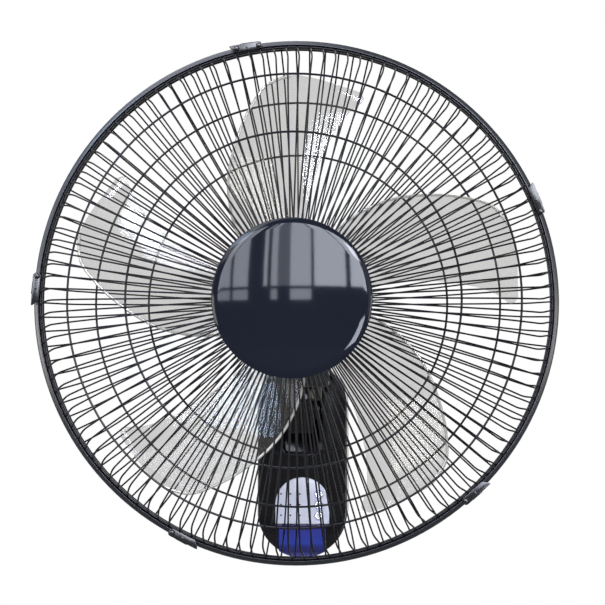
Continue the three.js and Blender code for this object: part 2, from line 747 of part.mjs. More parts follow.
function motorShaft() {
  const shaft = rodY(SHAFT_RADIUS, [0, 0], [-118, -264], 16);
  return cut(shaft, rod(2.25, [-6, DRIVE_PIN_Y, 0], [6, DRIVE_PIN_Y, 0], 12));
}

function spinnerNut() {
  return turned([
    [0, -264.6], [4.3, -264.6], [4.3, -254.4], [16, -254.4],
    [16, -260], [13, -266], [6, -269], [0, -269.5],
  ], 16);
}

// ---------------------------------------------------------------- assembly

const fan = new THREE.Group();

const base = new THREE.Group();
fan.add(base);
part(base, 'wall_plate', zinc, wallPlate());
part(base, 'rear_cover', blackPlastic, rearCover());
part(base, 'front_cover', blackGloss, frontCover());
part(base, 'control_panel', pearl, controlPanel());
part(base, 'receiver_window', blueLens, receiverWindow());
part(base, 'light_guide', clearGuide, lightGuide());
part(base, 'control_board', greenBoard, controlBoard());
part(base, 'infrared_receiver', blackPlastic, block([-3.5, 3.5], [-95.2, -90.3], [-69.5, -63]));
for (const [name, height] of Object.entries(BUTTON_HEIGHTS)) {
  part(base, name, silver, button()).position.set(BUTTON_X, 0, height);
}
part(base, 'run_capacitor', blackPlastic, block([-20, 20], [-34, -14], [-34, -4]));
part(base, 'cord_grommet', rubber, cordGrommet());
BOSSES.forEach(([x, z], i) => {
  const bodyScrew = screw(3.6, 2.4, 1.2, [-7.7, -66]);
  part(base, `body_screw_${i + 1}`, steel, bodyScrew).position.set(x, 0, z);
});
part(base, 'lock_screw', steel, lockScrew()).position.set(LOCK[0], 0, LOCK[1]);
part(base, 'neck_cradle', blackPlastic, neckCradle());
part(base, 'tilt_bolt', steel, tiltBolt());
part(base, 'tilt_nut', steel, tiltNut());

// The lock screw goes in from the front, so its head lies in front of the web.
function lockScrew() {
  return join(rodY(4, [0, 0], [-10.9, -13.4], 10), rodY(1.9, [0, 0], [-3.5, -12], 6));
}

const neck = new THREE.Group();
fan.add(neck);
part(neck, 'neck_arm', blackGloss, neckArm());
part(neck, 'swivel_pin', steel, rodZ(6, SWIVEL, [56.5, 94], 16));
const washer = cut(rodZ(COLLAR_RADIUS, SWIVEL, [73.3, 74.7], 16), rodZ(6.5, SWIVEL, [72, 76], 16));
part(neck, 'swivel_washer', nylon, washer);
part(neck, 'link_pin', steel, rodZ(1.8, LINK_PIN, [59.5, 75], 12));

const head = new THREE.Group();
head.position.z = AXIS_HEIGHT;
fan.add(head);
part(head, 'motor_casing_rear', zinc, motorCasingRear());
part(head, 'motor_casing_front', zinc, motorCasingFront());
part(head, 'stator_core', laminations, band([25, 43.2], [-139.4, -166], HEAD_SEGMENTS));
part(head, 'winding_front', copper, band([26, 40], [-166.6, -178], 20));
part(head, 'winding_rear', copper, band([26, 40], [-127.5, -139], 20));
part(head, 'bearing_front', steel, band([4.4, 8.1], [-177, -185.5], 16));
part(head, 'bearing_rear', steel, band([4.4, 8.1], [-121, -129.5], 16));
part(head, 'motor_shell', blackPlastic, motorShell());
part(head, 'guard_mount_plate', blackPlastic, guardMountPlate());
part(head, 'guard_nut', blackPlastic, guardNut());
part(head, 'rear_guard_wires', wirePaint, wireCage(REAR_WIRES, 26, -1, WIRE_COUNT.rear));
part(head, 'rear_ring_outer', wirePaint, guardRing(REAR_WIRES, 178, -1));
part(head, 'rear_ring_inner', wirePaint, guardRing(REAR_WIRES, 132, -1));
part(head, 'rear_rim_wire', wirePaint, band(RIM_WIRE, [RIM + 6, RIM + 1.6], RIM_SEGMENTS));
part(head, 'guard_hoop', wirePaint, guardHoop());
part(head, 'front_rim_wire', wirePaint, band(RIM_WIRE, [RIM - 2.8, RIM - 7.2], RIM_SEGMENTS));
part(head, 'front_ring_outer', wirePaint, guardRing(FRONT_WIRES, 190.8, 1));
part(head, 'front_ring_inner', wirePaint, guardRing(FRONT_WIRES, 140.3, 1));
part(head, 'front_guard_wires', wirePaint, wireCage(FRONT_WIRES, 56, 1, WIRE_COUNT.front));
part(head, 'centre_cap', navyGloss, centreCap());
part(head, 'cap_back_plate', blackPlastic, capBackPlate());
CLIP_ANGLES.forEach((angle, i) => {
  part(head, `guard_clip_${i + 1}`, wirePaint, guardClip()).rotation.y = -radians(angle);
});

const swingDrive = new THREE.Group();
fan.add(swingDrive);
part(swingDrive, 'swing_motor', zinc, rodZ(17, CRANK, [77.5, 89.8], 20));
part(swingDrive, 'swing_cover', blackPlastic, swingCover());
part(swingDrive, 'swing_crank', nylon, swingCrank()).position.set(CRANK.x, CRANK.y, 0);
part(swingDrive, 'swing_link', steel, swingLink()).position.set(CRANK.x + CRANK_THROW, CRANK.y, 0);

const rotor = new THREE.Group();
head.add(rotor);
part(rotor, 'motor_shaft', steel, motorShaft());
part(rotor, 'rotor_core', laminations, band([4.4, 24], [-139.6, -166], 28));
part(rotor, 'fan_blade', smokyClear, fanBlade());
part(rotor, 'spinner_nut', blackPlastic, spinnerNut());
part(rotor, 'drive_pin', steel, rod(2, [-9, DRIVE_PIN_Y, 0], [9, DRIVE_PIN_Y, 0], 12));

export default fan;
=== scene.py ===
# %% [markdown]
# # A wall mounted fan
# The object is a round wire guard over five smoky blades, on a motor head that swings and tilts
# above a slim black wall body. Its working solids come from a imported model, which is the fixed
# frame: every new piece is put where a solid of the frame says, and rides on the same body.

import math
import random

import bmesh
import bpy
from mathutils import Matrix, Vector


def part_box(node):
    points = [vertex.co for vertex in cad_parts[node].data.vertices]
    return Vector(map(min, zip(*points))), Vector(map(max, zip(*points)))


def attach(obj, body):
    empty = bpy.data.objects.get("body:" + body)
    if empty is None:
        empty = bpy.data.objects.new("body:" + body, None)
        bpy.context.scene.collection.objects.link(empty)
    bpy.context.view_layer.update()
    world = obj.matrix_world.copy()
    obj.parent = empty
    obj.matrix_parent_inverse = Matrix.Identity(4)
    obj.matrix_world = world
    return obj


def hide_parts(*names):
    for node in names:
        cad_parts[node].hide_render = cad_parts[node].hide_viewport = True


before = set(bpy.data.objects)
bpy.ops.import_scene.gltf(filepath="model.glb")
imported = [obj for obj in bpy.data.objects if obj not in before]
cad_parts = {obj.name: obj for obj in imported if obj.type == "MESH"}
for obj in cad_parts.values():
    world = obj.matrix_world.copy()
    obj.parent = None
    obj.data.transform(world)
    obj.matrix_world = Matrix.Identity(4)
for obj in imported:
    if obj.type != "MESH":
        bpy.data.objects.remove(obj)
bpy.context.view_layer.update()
MM = 0.001  # sizes below are in millimetres, and meshes become metres when they are finished


def box_mm(node):
    low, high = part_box(node)
    return low / MM, high / MM


# %% [markdown]
# ## Driving sizes
# The guard's hoop gives the fan's axis and its radius, and the covers give the wall body.
# The front faces -Y, so the nearest face of a piece has the lowest y.

# %% Driving sizes
hoop_low, hoop_high = box_mm("guard_hoop")
AXIS = (hoop_low.z + hoop_high.z) / 2
HOOP_RADIUS = hoop_high.x
HOOP_FRONT = hoop_low.y
HOOP_BACK = hoop_high.y
HOOP_LEAD = 0.75  # how far the hoop's middle lies in front of the rim's plane
RIM = (HOOP_FRONT + HOOP_BACK) / 2 + HOOP_LEAD  # the plane where the guard's halves meet
cover_low, cover_high = box_mm("front_cover")
BODY_RADIUS = cover_high.x
BODY_TOP = cover_high.z
BODY_FRONT = cover_low.y
BODY_SEAM = cover_high.y + 0.5
FRONT_ROUNDING = 14
BODY_WALL = 2.4
print(f"axis {AXIS:.1f}, hoop radius {HOOP_RADIUS:.1f}, rim {RIM:.1f}")
print(f"body {BODY_RADIUS:.1f} by {BODY_TOP:.1f}")

# %% [markdown]
# ## Camera
# The photograph was taken from a little below the fan's axis and to its right, with a long lens,
# from about a metre and a half. The aim is a point on the rim's plane, so the guard sits where it
# does in the picture.

# %% Camera
CAMERA_DISTANCE = 1.527
CAMERA_AZIMUTH = 2.29  # degrees round to the right
CAMERA_ELEVATION = -2.8
CAMERA_LENS = 105.8  # mm on a 36 mm wide sensor
AIM_ASIDE = 0.0062
AIM_UP = -0.0007


def place_camera():
    azimuth, elevation = math.radians(CAMERA_AZIMUTH), math.radians(CAMERA_ELEVATION)
    towards = Vector((
        math.sin(azimuth) * math.cos(elevation),
        -math.cos(azimuth) * math.cos(elevation),
        math.sin(elevation),
    ))
    turn = towards.to_track_quat("Z", "Y")
    aim = Vector((0, RIM * MM, AXIS * MM)) + turn @ Vector((AIM_ASIDE, AIM_UP, 0))
    lens = bpy.data.cameras.new("camera")
    lens.lens = CAMERA_LENS
    lens.sensor_width = 36
    camera = bpy.data.objects.new("camera", lens)
    camera.location = aim + towards * CAMERA_DISTANCE
    camera.rotation_euler = turn.to_euler()
    bpy.context.scene.collection.objects.link(camera)
    bpy.context.scene.camera = camera
    return camera


camera = place_camera()
print("camera at", [round(x, 3) for x in camera.location])

# %% [markdown]
# ## Shader maths as Python
# A material is a graph of nodes. Wrapping a socket in a small class lets plain sums build the
# Math nodes, and one method of a finish makes every other node.


# %% Shader helpers
class Signal:
    """A node's output, which can be used in sums."""

    def __init__(self, socket):
        self.socket = socket

    def sum(self, operation, *values):
        node = self.socket.id_data.nodes.new("ShaderNodeMath")
        node.operation = operation
        for place, value in zip(node.inputs, values):
            feed(place, value)
        return Signal(node.outputs[0])

    def __add__(self, other):
        return self.sum("ADD", self, other)

    def __mul__(self, other):
        return self.sum("MULTIPLY", self, other)


def feed(place, value):
    """Links a signal to an input, or sets the input's own value."""
    if isinstance(value, Signal):
        place.id_data.links.new(value.socket, place)
    else:
        place.default_value = value


def linear(hex_colour):
    """A colour as it is seen on a screen, 0xrrggbb, as the linear values that a shader takes."""
    parts = [(hex_colour >> shift & 255) / 255 for shift in (16, 8, 0)]
    return [x / 12.92 if x <= 0.04045 else ((x + 0.055) / 1.055) ** 2.4 for x in parts] + [1.0]


class Graph:
    """A node tree, with one method that makes any node."""

    def __init__(self, tree):
        self.tree = tree
        tree.nodes.clear()

    def node(self, kind, settings=None, inputs=None, output=0):
        node = self.tree.nodes.new("ShaderNode" + kind)
        for name, value in (settings or {}).items():
            if name == "stops":
                while len(node.color_ramp.elements) < len(value):
                    node.color_ramp.elements.new(1)
                for stop, (place, colour) in zip(node.color_ramp.elements, value):
                    stop.position = place
                    stop.color = colour
            else:
                setattr(node, name, value)
        for name, value in (inputs or {}).items():
            feed(node.inputs[name], value)
        return Signal(node.outputs[output])

    def mix(self, factor, one, other):
        """A colour between two colours."""
        inputs = {0: factor, 6: one, 7: other}
        return self.node("Mix", {"data_type": "RGBA"}, inputs, output=2)


class Finish(Graph):
    """A material with one Principled BSDF."""

    def __init__(self, name, **constants):
        self.material = bpy.data.materials.new(name)
        self.material.use_nodes = True
        super().__init__(self.material.node_tree)
        self.shader = self.tree.nodes.new("ShaderNodeBsdfPrincipled")
        self.surface = self.tree.nodes.new("ShaderNodeOutputMaterial")
        self.tree.links.new(self.shader.outputs[0], self.surface.inputs[0])
        self.place = self.node("TexCoord", output="Object")
        for socket, value in constants.items():
            self.set(socket.replace("_", " "), value)

    def set(self, socket, value):
        feed(self.shader.inputs[socket], value)

    def noise(self, size_mm, detail=2.0):
        """Soft noise whose patches are about this many millimetres across."""
        inputs = {"Vector": self.place, "Scale": 1 / (size_mm * MM), "Detail": detail}
        return self.node("TexNoise", None, inputs, output="Fac")

    def bump(self, height, depth_mm):
        inputs = {"Height": height, "Distance": depth_mm * MM, "Strength": 1.0}
        self.set("Normal", self.node("Bump", None, inputs))


print("shader helpers ready")

# %% [markdown]
# ## Floor, background and lamps
# The fan hangs in front of plain white. Only what the camera and mirror-like rays see of the world
# is full white, and the light that the world gives is lower, so that lamps can shape the object.
# Glossy black shows mostly what it mirrors. So some cards light nothing and are only mirrored: a
# window of tall panes in front for the cap, two small windows and a skylight for the blades, cards
# above and at the left for the hoop, and a wall at each side for the body. A front lamp does the
# opposite, and lifts the panel without a mirror image.

# %% Floor and background
FLOOR_HEIGHT = -0.62
FLOOR_HALF = 3.0
WORLD_LIGHT = 0.5


def make_floor():
    bm = bmesh.new()
    bmesh.ops.create_grid(bm, x_segments=1, y_segments=1, size=FLOOR_HALF)
    bmesh.ops.translate(bm, vec=(0, 0, FLOOR_HEIGHT), verts=bm.verts)
    mesh = bpy.data.meshes.new("floor")
    bm.to_mesh(mesh)
    bm.free()
    paint = Finish("floor_paint", Roughness=0.9)
    paint.set("Specular IOR Level", 0.1)
    paint.set("Base Color", paint.mix(paint.noise(400), linear(0xEDEDEE), linear(0xF1F1F0)))
    mesh.materials.append(paint.material)
    floor = bpy.data.objects.new("floor", mesh)
    bpy.context.scene.collection.objects.link(floor)


def make_world():
    world = bpy.data.worlds.new("studio")
    world.use_nodes = True
    bpy.context.scene.world = world
    graph = Graph(world.node_tree)
    seen = graph.node("LightPath", output="Is Camera Ray")
    for kind in ("Is Glossy Ray", "Is Transmission Ray"):
        seen = seen.sum("MAXIMUM", seen, graph.node("LightPath", output=kind))
    strength = seen * (1 - WORLD_LIGHT) + WORLD_LIGHT
    sky = graph.node("Background", None, {"Color": (1, 1, 1, 1), "Strength": strength})
    feed(graph.tree.nodes.new("ShaderNodeOutputWorld").inputs["Surface"], sky)


make_floor()
make_world()
print("floor at", FLOOR_HEIGHT)

# %% Lamps


def lamp(name, place, aim, size, power, tint=(1, 1, 1), seen_in="both"):
    """An area lamp. It can be left out of matt light or of mirror images."""
    light = bpy.data.lights.new(name, "AREA")
    light.shape = "RECTANGLE"
    light.size, light.size_y = size
    light.energy = power
    light.color = tint
    holder = bpy.data.objects.new(name, light)
    holder.location = place
    holder.rotation_euler = (Vector(place) - Vector(aim)).to_track_quat("Z", "Y").to_euler()
    holder.visible_camera = False
    holder.visible_diffuse = seen_in != "mirrors"
    holder.visible_glossy = seen_in != "matt"
    bpy.context.scene.collection.objects.link(holder)


HEAD_MIDDLE = (0, RIM * MM, AXIS * MM)
DAYLIGHT = (0.84, 0.88, 1.0)
SKY = (0.55, 0.72, 1.0)
lamp("key", (-1.7, -2.2, 2.0), HEAD_MIDDLE, (1.4, 1.4), 42)
lamp("fill", (2.2, -1.8, 0.6), HEAD_MIDDLE, (1.2, 1.6), 14)
lamp("front", (0.3, -3.2, 0.7), (0, 0, 0.05), (2.0, 1.6), 26, seen_in="matt")
lamp("back", (0.6, 2.0, 1.6), HEAD_MIDDLE, (1.6, 1.0), 22)
lamp("above", (-0.8, -0.6, 2.3), HEAD_MIDDLE, (2.2, 1.6), 110, DAYLIGHT, "mirrors")
lamp("left_card", (-2.6, -0.9, 0.5), HEAD_MIDDLE, (1.4, 2.0), 60, DAYLIGHT, "mirrors")
lamp("low_window", (0.9, -1.75, -0.3), (0.05, -0.24, 0.3), (0.42, 0.5), 32, DAYLIGHT, "mirrors")
lamp("high_window", (1.51, -2.37, 1.5), (-0.15, -0.24, 0.19), (0.6, 0.5), 60, DAYLIGHT, "mirrors")
lamp("left_wall", (-3.0, -1.6, -0.2), (0, -0.1, 0), (1.6, 1.2), 90, (1, 0.97, 0.86), "mirrors")
lamp("right_wall", (3.0, -1.6, -0.2), (0, -0.1, 0), (1.6, 1.2), 90, (1, 0.97, 0.86), "mirrors")

WINDOW_FRONT = -4.0
WINDOW_ROWS = [(0.6, 3.5, 1.0), (0.28, 0.53, 0.75)]  # foot, head and share of the power
PANES = [  # left side, right side, watts for each square metre, and in how many rows
    (-2.9, -1.70, 80, 2), (-1.62, -1.22, 85, 2), (-0.83, -0.74, 100, 1), (-0.65, -0.50, 90, 2),
    (-0.50, -0.20, 26, 1), (-0.20, 0.29, 110, 2), (0.36, 1.13, 135, 1), (1.25, 2.9, 150, 1),
]
for number, (left, right, power, rows) in enumerate(PANES):
    for row, (foot, head, share) in enumerate(WINDOW_ROWS[:rows]):
        middle = ((left + right) / 2, WINDOW_FRONT, (foot + head) / 2)
        straight_back = (middle[0], 0, middle[2])
        size = (right - left, head - foot)
        watts = power * share * size[0] * size[1]
        lamp(f"pane_{number}_{row}", middle, straight_back, size, watts, DAYLIGHT, "mirrors")

SKYLIGHT_ROWS = 5
SKYLIGHT_STEP = 0.14  # from one row up to the next
for row in range(SKYLIGHT_ROWS):
    place = (-1.79, -1.72, 1.7 + SKYLIGHT_STEP * row)
    lamp(f"skylight_{row}", place, (-0.03, -0.24, 0.05), (1.8, 0.09), 14, SKY, "mirrors")

# %% [markdown]
# ## Finishes
# Most of the fan is moulded plastic: glossy black on the wall body, satin black on the motor's
# shell, deep navy on the cap. The wires are steel with dark paint, the blades are smoky and clear
# enough to see the rear wires through. Each finish varies a little over its surface.

# %% Dark plastics and paint
PATCH_SIZE = 28  # millimetres across a patch where moulded plastic is duller or shinier


def plastic(name, colour, roughness, grain_mm, grain_depth_mm, shine=0.5, cloud=0.25):
    """Moulded plastic with a fine grain, whose gloss and colour drift a little."""
    finish = Finish(name, Specular_IOR_Level=shine)
    patches = finish.noise(PATCH_SIZE, 3)
    light = [min(1, x * (1 + cloud)) for x in linear(colour)[:3]] + [1]
    finish.set("Base Color", finish.mix(patches, linear(colour), light))
    finish.set("Roughness", patches * (roughness * 0.4) + roughness * 0.8)
    finish.bump(finish.noise(grain_mm, 1), grain_depth_mm)
    return finish.material


black_gloss = plastic("black_gloss", 0x0B0C0E, 0.14, 3.0, 0.01, shine=0.12)
black_satin = plastic("black_satin", 0x17181C, 0.42, 0.6, 0.02, shine=0.3)
navy_gloss = plastic("navy_gloss", 0x0F1422, 0.06, 9.0, 0.006, shine=0.1)
hoop_satin = plastic("hoop_satin", 0x14171F, 0.3, 0.8, 0.015, shine=0.2)
clip_gloss = plastic("clip_gloss", 0x0F1016, 0.2, 1.5, 0.01, shine=0.2)
wire_paint = plastic("wire_paint", 0x0D0D14, 0.32, 1.2, 0.01, shine=0.06)
rubber = plastic("rubber", 0x141414, 0.8, 0.4, 0.02, shine=0.2)
print("dark finishes:", black_gloss.name, black_satin.name, navy_gloss.name, hoop_satin.name)

# %% Smoky blades
BLADE_ALPHA = 0.25  # of each of a blade's two faces


def smoky_clear():
    finish = Finish("smoky_clear", Alpha=BLADE_ALPHA, IOR=1.49)
    haze = finish.noise(30, 4)
    finish.set("Base Color", finish.mix(haze, linear(0x4C4A45), linear(0x6C6A63)))
    finish.set("Roughness", haze * 0.06 + 0.06)
    finish.bump(finish.noise(45, 1), 0.2)
    return finish.material


def painted_highlight_edge():
    """The thick lip, hardly clear, painted pale: a painted highlight for the light gathering in it.
    """
    finish = Finish("smoky_edge_painted_highlight", Alpha=0.82, IOR=1.49, Roughness=0.2)
    haze = finish.noise(9, 3)
    finish.set("Base Color", finish.mix(haze, linear(0xA9A8A3), linear(0xC6C5C0)))
    return finish.material


# The edge finish is painted pale, a painted highlight for the light that gathers in the blade's
# thick lip.
blade_smoke = smoky_clear()
blade_edge_painted_highlight = painted_highlight_edge()
print("blade lets", round((1 - BLADE_ALPHA) ** 2, 2), "of the light through")

# %% Controls and metals
LENS_HEAD, LENS_FOOT = -61.6, -92  # heights of the window's top and bottom


def pearl():
    finish = Finish("panel_pearl", Roughness=0.3, Specular_IOR_Level=0.4)
    flakes = finish.noise(0.35, 1)
    finish.set("Base Color", finish.mix(flakes, linear(0xC0C5DE), linear(0xD0D5EA)))
    finish.bump(finish.noise(0.5, 1), 0.01)
    return finish.material


def lens():
    """Blue plastic painted by height: dark strip at its top, a band of painted shade low down, a
    pale violet rim of painted light.
    """
    finish = Finish("blue_lens", Roughness=0.09, Specular_IOR_Level=0.16)
    height = finish.node("SeparateXYZ", None, {"Vector": finish.place}, output=2)
    depth = finish.node("MapRange", {"clamp": True}, {
        "Value": height, "From Min": LENS_FOOT * MM, "From Max": LENS_HEAD * MM,
    })
    # The stops paint shade and light by height, for how light falls through the curved window.
    stops = [
        (0.0, linear(0x524E9C)), (0.1, linear(0x3A3C88)), (0.2, linear(0x171C56)),
        (0.36, linear(0x1C2470)), (0.46, linear(0x22389C)), (0.86, linear(0x2A3290)),
        (0.9, linear(0x1E1E50)),
    ]
    painted_shade_ramp = finish.node("ValToRGB", {"stops": stops}, {"Fac": depth + finish.noise(12, 2) * 0.08})
    finish.set("Base Color", painted_shade_ramp)
    return finish.material


def metal(name, colour, roughness, grain_mm=0.5):
    finish = Finish(name, Metallic=1.0)
    wear = finish.noise(6, 3)
    worn = [x * 0.8 for x in linear(colour)[:3]] + [1]
    finish.set("Base Color", finish.mix(wear, linear(colour), worn))
    finish.set("Roughness", wear * (roughness * 0.5) + roughness * 0.75)
    finish.bump(finish.noise(grain_mm, 2), 0.01)
    return finish.material


panel_pearl = pearl()
# The window's blue carries painted shade and painted light by height.
blue_lens = lens()
button_silver = metal("button_silver", 0xC9CCD8, 0.2, 1.0)
clear_guide = plastic("clear_guide", 0x2B2C34, 0.2, 1.0, 0.01)
nylon = plastic("nylon", 0xD9D6CC, 0.55, 0.8, 0.02, cloud=0.05)
board_green = plastic("board_green", 0x1F5A35, 0.5, 1.5, 0.02)
zinc = metal("zinc", 0xB4B6B9, 0.38)
steel = metal("steel", 0x9A9DA2, 0.3)
laminations = metal("laminations", 0x6A6D73, 0.5)
copper = metal("copper", 0xA8642F, 0.4)
print("finishes:", len(bpy.data.materials))

# %% [markdown]
# ## Shapes from profiles
# Nearly every piece is turned about the fan's axis, or is an outline pushed through a thickness.
# A corner that is round on the real piece is a bevelled vertex of its profile, so an outline lists
# only its corners, each with its radius.

# %% Profiles, turned and pushed
FULL_TURN = 2 * math.pi
SHARP = math.radians(32)


def outline(bm, corners, at, closed=True, steps=8):
    """Joins corners (a, b) or (a, b, radius), placed by at(a, b). A radius rounds its corner."""
    verts = [bm.verts.new(at(*corner[:2])) for corner in corners]
    pairs = list(zip(verts, verts[1:] + verts[:1]))
    for pair in pairs if closed else pairs[:-1]:
        bm.edges.new(pair)
    radii = [corner[2] if len(corner) > 2 else 0 for corner in corners]
    for radius in sorted(set(radii) - {0}):
        chosen = [v for v, size in zip(verts, radii) if size == radius]
        bmesh.ops.bevel(
            bm, geom=chosen, offset=radius, offset_type="OFFSET", segments=steps,
            profile=0.5, affect="VERTICES", clamp_overlap=True, material=-1,
        )
    return bm


def spun(bm, steps, centre=(0, 0, AXIS), axis=(0, 1, 0)):
    """Turns a profile all the way round a line, which is the fan's axis unless one is given."""
    bmesh.ops.spin(
        bm, geom=bm.verts[:] + bm.edges[:], cent=centre, axis=axis, dvec=(0, 0, 0),
        angle=FULL_TURN, steps=steps, use_merge=True, use_duplicate=False,
    )
    return bm


def turned(
    corners, steps=96, closed=True, round_steps=5, centre=(0, 0, AXIS), axis=(0, 1, 0),
):
    """A profile of (radius, place along the line) turned about a line."""
    x, y, z = centre

    def at(radius, along):
        if axis == (0, 1, 0):
            return (x + radius, along, z)
        if axis == (0, 0, 1):
            return (x + radius, y, along)
        return (along, y, z + radius)

    return spun(outline(bmesh.new(), corners, at, closed, round_steps), steps, centre, axis)


def copied_round(bm, count, way=1):
    """Copies a shape round the fan's axis until there are count of it."""
    bmesh.ops.spin(
        bm, geom=bm.verts[:] + bm.edges[:] + bm.faces[:], cent=(0, 0, AXIS), axis=(0, 1, 0),
        dvec=(0, 0, 0), angle=way * FULL_TURN * (count - 1) / count, steps=count - 1,
        use_merge=False, use_duplicate=True,
    )
    return bm


def swung(bm, degrees):
    """Turns a shape about the fan's axis."""
    turn = Matrix.Rotation(math.radians(degrees), 3, "Y")
    bmesh.ops.rotate(bm, cent=(0, 0, AXIS), matrix=turn, verts=bm.verts)
    return bm


def thickened(bm, shift):
    """Fills an outline with a face, and pushes a copy of the face out from it."""
    face = bmesh.ops.contextual_create(bm, geom=bm.edges[:])["faces"]
    grown = bmesh.ops.extrude_face_region(bm, geom=face, use_keep_orig=True)["geom"]
    ends = [g for g in grown if isinstance(g, bmesh.types.BMVert)]
    bmesh.ops.translate(bm, vec=shift, verts=ends)
    return bm


def pushed(corners, back, front, steps=12):
    """An outline in X and Z, pushed forwards from one depth to another."""
    bm = outline(bmesh.new(), corners, lambda x, z: (x, back, z), steps=steps)
    return thickened(bm, (0, front - back, 0))


def pushed_aside(corners, left, right):
    """An outline in Y and Z, pushed along X."""
    bm = outline(bmesh.new(), corners, lambda y, z: (left, y, z))
    return thickened(bm, (right - left, 0, 0))


def block(low, high):
    bm = bmesh.new()
    bmesh.ops.create_cube(bm, size=1)
    size = [b - a for a, b in zip(low, high)]
    middle = [(a + b) / 2 for a, b in zip(low, high)]
    bmesh.ops.scale(bm, vec=size, verts=bm.verts)
    bmesh.ops.translate(bm, vec=middle, verts=bm.verts)
    return bm


def soften(bm, width, steps=2, angle=SHARP, chosen=None):
    """Rounds every edge that is sharper than an angle, as a mould does."""
    bmesh.ops.recalc_face_normals(bm, faces=bm.faces)
    edges = [
        e for e in bm.edges
        if len(e.link_faces) == 2 and e.calc_face_angle(0) > angle and (chosen is None or chosen(e))
    ]
    bmesh.ops.bevel(
        bm, geom=edges, offset=width, offset_type="OFFSET", segments=steps, profile=0.5,
        affect="EDGES", clamp_overlap=True, material=-1,
    )
    return bm


def add(bm, *others):
    """Puts other shapes into the first one."""
    for other in others:
        held = bpy.data.meshes.new("held")
        other.to_mesh(held)
        other.free()
        bm.from_mesh(held)
        bpy.data.meshes.remove(held)
    return bm


def as_object(bm, name="shape"):
    mesh = bpy.data.meshes.new(name)
    bmesh.ops.remove_doubles(bm, verts=bm.verts, dist=0.002)
    bmesh.ops.recalc_face_normals(bm, faces=bm.faces)
    bm.to_mesh(mesh)
    bm.free()
    shape = bpy.data.objects.new(name, mesh)
    bpy.context.scene.collection.objects.link(shape)
    return shape


def carved(bm, *tools, operation="DIFFERENCE"):
    """Cuts tools out of a shape, or keeps what lies in all of them."""
    shape = as_object(bm)
    held = [as_object(tool, "tool") for tool in tools]
    for tool in held:
        modifier = shape.modifiers.new("carve", "BOOLEAN")
        modifier.operation = operation
        modifier.solver = "EXACT"
        modifier.object = tool
    seen = shape.evaluated_get(bpy.context.evaluated_depsgraph_get())
    result = bmesh.new()
    result.from_mesh(seen.to_mesh())
    for used in [shape, *held]:
        mesh = used.data
        bpy.data.objects.remove(used)
        bpy.data.meshes.remove(mesh)
    return result


def piece(name, bm, body, finish, stands_for=(), sharp=SHARP):
    """Finishes a shape: clean, outward, smooth but for its sharp edges, in metres, on its body."""
    bmesh.ops.remove_doubles(bm, verts=bm.verts, dist=0.002)
    bmesh.ops.recalc_face_normals(bm, faces=bm.faces)
    bmesh.ops.scale(bm, vec=(MM, MM, MM), verts=bm.verts)
    for face in bm.faces:
        face.smooth = True
    for edge in bm.edges:
        edge.smooth = edge.calc_face_angle(0) < sharp
    mesh = bpy.data.meshes.new(name)
    bm.to_mesh(mesh)
    bm.free()
    mesh.materials.append(finish)
    made = bpy.data.objects.new(name, mesh)
    bpy.context.scene.collection.objects.link(made)
    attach(made, body)
    if stands_for:
        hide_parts(*stands_for)
    print(f"{name}: {len(mesh.polygons)} faces on {body}")
    return made


print("shape helpers ready")

# %% [markdown]
# ## Guard wires
# The front half of the guard has 126 steel wires and the rear half has 108. A wire is a round rod,
# bent once or twice, so one is made as rings joined along a path, and the rest are copies turned
# about the axis. Six sides are enough for a rod this thin. Welding leaves each wire a little out
# of its place, and the front wires' ends hook sideways before they go under the hoop.

# %% Guard wires
FRONT_COUNT = 126
REAR_COUNT = 108
WIRE_RADIUS = 0.8
WIRE_SIDES = 6
HOOK_START = 209  # the radius where a front wire starts to bend sideways
HOOK_REACH = 2.8
STRAY = math.radians(0.16)  # how far a wire may be out of its place
HUB_THICKNESS = 1.7  # of the flat ring where the wires start


def rod(path, radius, sides, side_of):
    """A round rod along points. side_of(along) is a direction across the rod."""
    bm = bmesh.new()
    loops = []
    last = len(path) - 1
    for i, point in enumerate(path):
        along = (Vector(path[min(i + 1, last)]) - Vector(path[max(i - 1, 0)])).normalized()
        side = side_of(along)
        turn = Matrix((side, along.cross(side), along)).transposed().to_4x4()
        place = Matrix.Translation(point) @ turn
        ring = bmesh.ops.create_circle(
            bm, cap_ends=i in (0, last), radius=radius, segments=sides, matrix=place,
        )["verts"]
        loops.append({e for v in ring for e in v.link_edges if e.other_vert(v) in ring})
    for one, other in zip(loops, loops[1:]):
        bmesh.ops.bridge_loops(bm, edges=list(one | other))
    return bm


def bent_path(corners, steps):
    """The points of an open outline in (radius, y, corner radius, aside), with round corners."""
    bm = bmesh.new()
    aside = {corner[:2]: corner[3] for corner in corners if len(corner) > 3}

    def at(radius, y):
        return (radius, y, AXIS + aside.get((radius, y), 0))

    outline(bm, [corner[:3] for corner in corners], at, False, steps)
    here = min(bm.verts, key=lambda v: v.co.x)
    points, seen = [], set()
    while here:
        seen.add(here)
        points.append(here.co.copy())
        onward = [e.other_vert(here) for e in here.link_edges if e.other_vert(here) not in seen]
        here = onward[0] if onward else None
    bm.free()
    return points


def guard_wires(path, hub, count, luck):
    """One wire, its copies round the axis, and the flat ring at the hub that they run out of."""
    bm = rod(path, WIRE_RADIUS, WIRE_SIDES, lambda along: Vector((0, 0, 1)))
    size = len(bm.verts)
    copied_round(bm, count)
    bm.verts.ensure_lookup_table()
    for number in range(count):
        turn = Matrix.Rotation(luck.uniform(-STRAY, STRAY), 3, "Y")
        wire = bm.verts[number * size:(number + 1) * size]
        bmesh.ops.rotate(bm, cent=(0, 0, AXIS), matrix=turn, verts=wire)
    return add(bm, turned(hub, round_steps=3))


def flat_ring(inside, outside, front, back):
    """The corners of a flat ring's profile."""
    return [(inside, front, 0.6), (outside, front, 0.6), (outside, back, 0.6), (inside, back, 0.6)]


